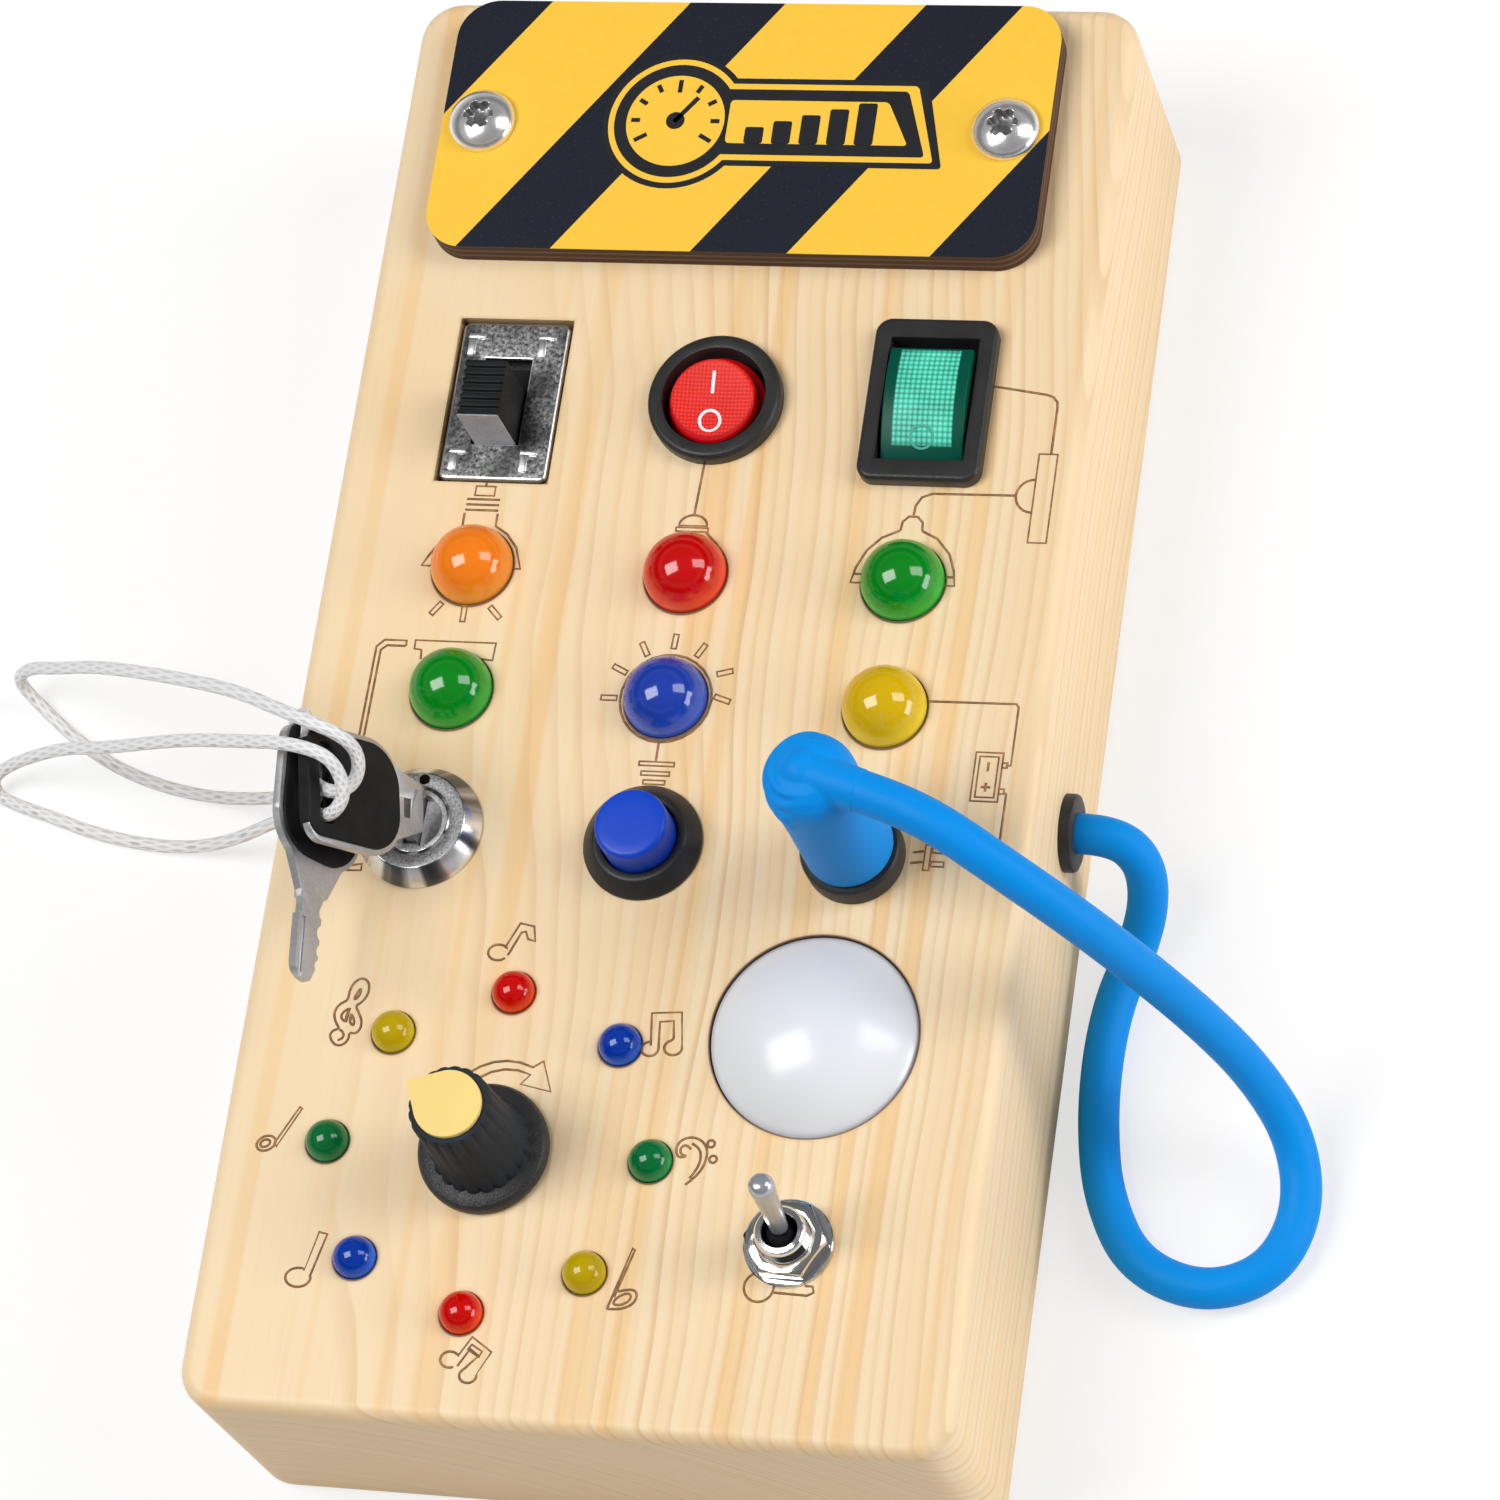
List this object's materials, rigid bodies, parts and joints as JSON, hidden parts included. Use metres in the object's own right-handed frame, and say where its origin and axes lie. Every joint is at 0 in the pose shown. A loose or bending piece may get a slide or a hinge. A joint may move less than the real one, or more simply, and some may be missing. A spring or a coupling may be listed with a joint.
{
  "type": "wooden busy board",
  "caption": "Hand-held wooden activity board with working switches, lamps, key lock with keys on a string, push button, plug on a cord, dome lamp and selector dial.",
  "frame": {"origin": "centre of the back face, which the board lies on", "axes": "+Z out of the face with the controls, +Y along the length towards the sign plate, +X to the right seen from the front"},
  "size_m": [0.172, 0.18, 0.0591],
  "materials": {
    "wood": "satin",
    "ply": "matte",
    "sign_yellow": "satin",
    "steel": "satin",
    "chrome": "polished",
    "black_gloss": "gloss",
    "black_matte": "matte",
    "red_clear": "gloss",
    "green_clear": "gloss",
    "blue_clear": "gloss",
    "yellow_clear": "gloss",
    "orange_clear": "gloss",
    "blue_rubber": "satin",
    "blue_cap": "gloss",
    "string": "woven",
    "frosted_white": "frosted",
    "circuit": "satin",
    "brass": "satin",
    "yellow_cap": "gloss",
    "cell": "gloss"
  },
  "bodies": {
    "case": {"body_block": "wood", "back_panel": "ply", "back_panel_screws": "steel", "battery_door": "ply", "battery_door_screw": "steel", "battery_holder": "black_matte", "battery_contacts": "chrome", "battery_cells": "cell", "sign_plate": "sign_yellow", "sign_plate_screws": "chrome", "slide_switch_cover": "steel", "slide_switch_base": "black_matte", "round_rocker_housing": "black_gloss", "rect_rocker_housing": "black_gloss", "switch_terminals": "brass", "lamp_orange": "orange_clear", "lamp_red": "red_clear", "lamps_green": "green_clear", "lamp_blue": "blue_clear", "lamp_yellow": "yellow_clear", "lamp_board": "circuit", "key_lock_barrel": "chrome", "key_lock_nut": "chrome", "key_string": "string", "string_knot": "string", "push_button_bezel": "chrome", "push_button_nut": "chrome", "push_button_spring": "steel", "socket_barrel": "black_matte", "socket_nut": "chrome", "plug_cord": "blue_rubber", "cord_grommet": "black_matte", "dome_lens": "frosted_white", "dome_lamp_board": "circuit", "small_lamps_red": "red_clear", "small_lamps_blue": "blue_clear", "small_lamps_green": "green_clear", "small_lamps_yellow": "yellow_clear", "ring_lamp_board": "circuit", "rotary_switch_body": "black_matte", "rotary_switch_nut": "chrome", "toggle_body": "black_matte", "toggle_nut": "chrome", "toggle_washer": "chrome"},
    "slider": {"slide_switch_slider": "black_matte"},
    "round_rocker": {"round_rocker_button": "red_clear"},
    "rect_rocker": {"rect_rocker_button": "green_clear"},
    "lock_core": {"key_lock_plug": "chrome", "key_metal": "steel", "key_cover": "black_gloss", "spare_key_metal": "steel", "spare_key_cover": "black_gloss"},
    "push_button": {"push_button_cap": "blue_cap"},
    "plug": {"plug_boot": "blue_rubber", "plug_pin": "brass"},
    "knob": {"knob": "black_gloss", "knob_pointer_cap": "yellow_cap", "rotary_switch_shaft": "steel"},
    "toggle": {"toggle_lever": "chrome"}
  },
  "joints": [
    {"name": "slide_switch_travel", "type": "slide", "parent": "case", "child": "slider", "axis": [0, 1, 0], "range_m": [0, 0.0039]},
    {"name": "round_rocker_tilt", "type": "hinge", "parent": "case", "child": "round_rocker", "pos_m": [0.0003, 0.0363, 0.0292], "axis": [1, 0, 0], "range_deg": [-22, 0]},
    {"name": "rect_rocker_tilt", "type": "hinge", "parent": "case", "child": "rect_rocker", "pos_m": [0.0261, 0.0367, 0.0286], "axis": [1, 0, 0], "range_deg": [-19, 0]},
    {"name": "key_turn", "type": "hinge", "parent": "case", "child": "lock_core", "pos_m": [-0.0272, -0.0193, 0.0315], "axis": [0, 0, 1], "range_deg": [-90, 0], "deforming": ["key_string"]},
    {"name": "push_button_travel", "type": "slide", "parent": "case", "child": "push_button", "axis": [0, 0, -1], "range_m": [0, 0.0025], "stiffness_N_per_m": 200, "springref_m": -0.003, "deforming": ["push_button_spring"]},
    {"name": "plug_pull", "type": "slide", "parent": "case", "child": "plug", "axis": [0, 0, 1], "range_m": [0, 0.014], "deforming": ["plug_cord"]},
    {"name": "knob_turn", "type": "hinge", "parent": "case", "child": "knob", "pos_m": [-0.013, -0.0579, 0.0315], "axis": [0, 0, 1], "range_deg": [-315, 0]},
    {"name": "toggle_tilt", "type": "hinge", "parent": "case", "child": "toggle", "pos_m": [0.0237, -0.0665, 0.0345], "axis": [1, 0, 0], "range_deg": [0, 18]}
  ]
}
